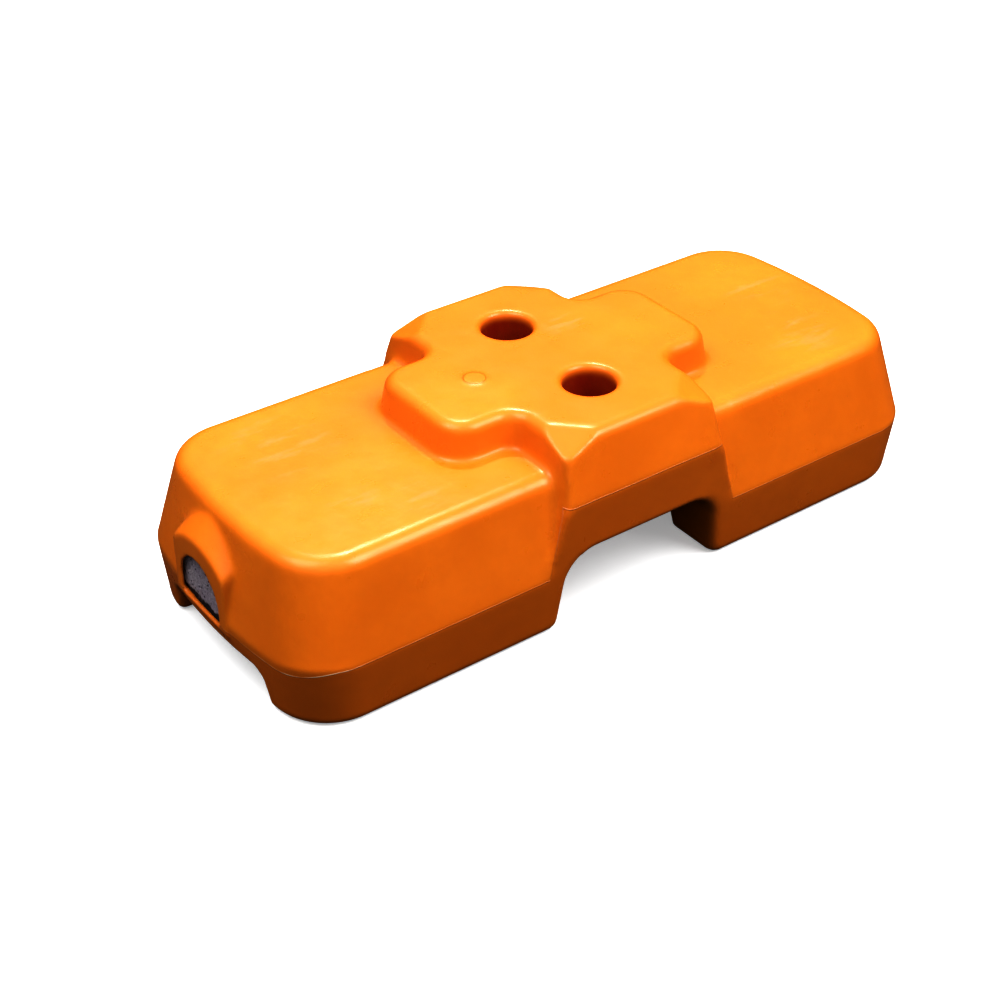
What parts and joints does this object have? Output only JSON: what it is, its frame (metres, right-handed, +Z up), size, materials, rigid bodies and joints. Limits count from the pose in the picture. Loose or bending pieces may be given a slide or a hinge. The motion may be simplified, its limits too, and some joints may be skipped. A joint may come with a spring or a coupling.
{
  "type": "barrier foot",
  "caption": "Concrete-filled plastic ballast foot with upright post holes that holds temporary fence and barrier panels, with a raised cross on top for stacking.",
  "frame": {"origin": "on the ground, under the middle of the foot", "axes": "+X along the foot, away from the end with the filling mouth; +Y across it; +Z up"},
  "size_m": [0.6, 0.246, 0.1558],
  "materials": {
    "orange_shell": "satin, blow moulded",
    "concrete": "rough cast concrete"
  },
  "bodies": {
    "root": {"shell": "orange_shell", "concrete_ballast": "concrete"}
  },
  "joints": []
}
